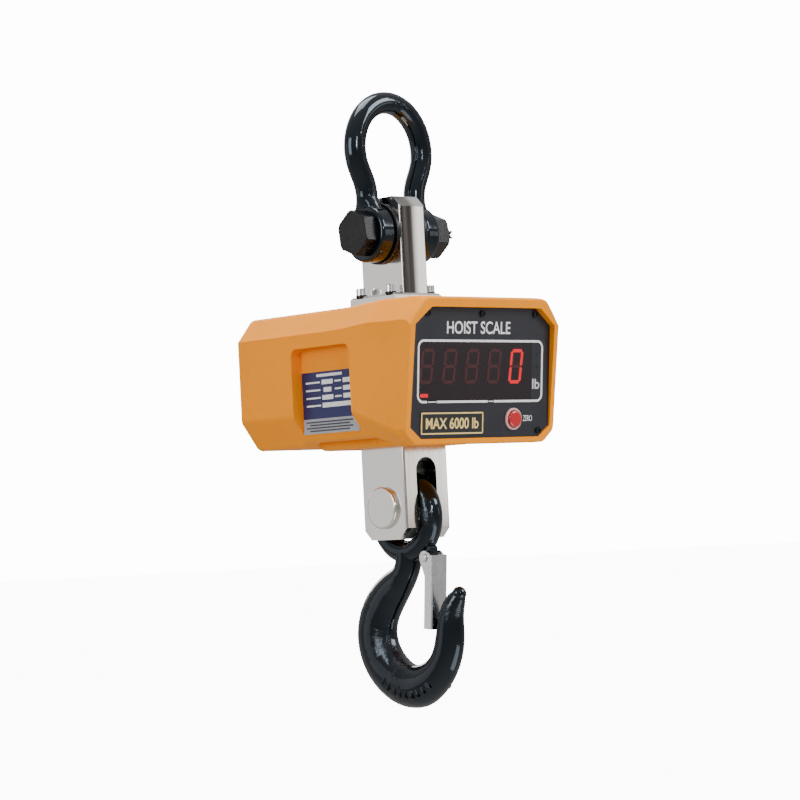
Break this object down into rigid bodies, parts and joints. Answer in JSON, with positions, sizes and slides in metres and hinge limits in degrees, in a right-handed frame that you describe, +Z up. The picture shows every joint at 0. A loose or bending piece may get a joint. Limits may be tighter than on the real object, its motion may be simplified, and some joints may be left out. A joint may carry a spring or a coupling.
{
  "type": "crane scale",
  "caption": "Hanging crane scale: bow shackle and load block above a chamfered housing with a digital display, clevis block and latched eye hook below.",
  "frame": {"origin": "hang point, at the inside of the shackle's crown on the load axis", "axes": "+Z up along the load axis, the display faces -Y, the hex head of the shackle bolt is at -X"},
  "size_m": [0.172, 0.2338, 0.5322],
  "materials": {
    "black_enamel": "glossy black enamel over forged steel",
    "black_oxide": "semi-gloss black finish",
    "nickel": "satin nickel plate over ground steel",
    "zinc": "bright zinc plate",
    "steel": "plain steel",
    "housing_paint": "orange-yellow powder coat",
    "panel_black": "black printed front panel",
    "window_red": "dark red display filter",
    "red_plastic": "glossy red",
    "pale_ring": "pale ring",
    "badge": "black plate with a gold line",
    "label": "printed rating plate",
    "rubber": "black rubber",
    "board": "circuit board",
    "black_plastic": "moulded black plastic",
    "battery_case": "battery case"
  },
  "bodies": {
    "scale_body": {"shackle_spacers": "black_oxide", "upper_eye_block": "nickel", "top_plate": "nickel", "top_plate_washers": "black_oxide", "top_plate_screws": "zinc", "load_cell": "steel", "load_cell_studs": "steel", "lower_clevis_block": "nickel", "clevis_pin": "nickel", "pin_retaining_ring": "steel", "housing_shell": "housing_paint", "display_panel": "panel_black", "front_gasket": "rubber", "panel_screws": "black_oxide", "display_window": "window_red", "digit_modules": "black_plastic", "display_board": "board", "board_standoffs": "zinc", "indicator_led": "red_plastic", "zero_button_ring": "pale_ring", "zero_switch": "black_plastic", "capacity_plate": "badge", "rating_labels": "label", "battery_pack": "battery_case", "battery_tray": "black_plastic", "main_board": "board", "main_board_posts": "zinc", "rear_cover": "housing_paint", "rear_gasket": "rubber", "rear_screws": "zinc", "power_switch_frame": "black_plastic", "charging_socket": "black_plastic", "socket_plug": "rubber"},
    "shackle": {"bow_shackle": "black_enamel", "shackle_bolt": "black_oxide", "shackle_nut": "black_oxide", "split_pin": "zinc"},
    "hook": {"eye_hook": "black_enamel", "latch_bolt": "zinc", "latch_nut": "zinc", "latch_spring": "steel"},
    "latch": {"hook_latch": "zinc"},
    "zero_button": {"zero_button_cap": "red_plastic"},
    "power_rocker": {"power_switch_rocker": "red_plastic"}
  },
  "joints": [
    {"name": "shackle_swing", "type": "hinge", "parent": "scale_body", "child": "shackle", "pos_m": [0, 0, -0.105], "axis": [1, 0, 0], "range_deg": [-100, 100]},
    {"name": "hook_swing", "type": "hinge", "parent": "scale_body", "child": "hook", "pos_m": [0, 0, -0.3406], "axis": [1, 0, 0], "range_deg": [-40, 40]},
    {"name": "latch_open", "type": "hinge", "parent": "hook", "child": "latch", "pos_m": [0, -0.029, -0.3846], "axis": [1, 0, 0], "range_deg": [0, 35], "stiffness_Nm_per_rad": 0.05, "springref_deg": -20.05},
    {"name": "zero_button_press", "type": "slide", "parent": "scale_body", "child": "zero_button", "axis": [0, 0.9949, 0.1011], "range_m": [0, 0.0015], "stiffness_N_per_m": 900, "springref_m": -0.0008},
    {"name": "power_rocker_tilt", "type": "hinge", "parent": "scale_body", "child": "power_rocker", "pos_m": [0.03, 0.1111, -0.2278], "axis": [0, 0, 1], "range_deg": [-5, 5]}
  ]
}
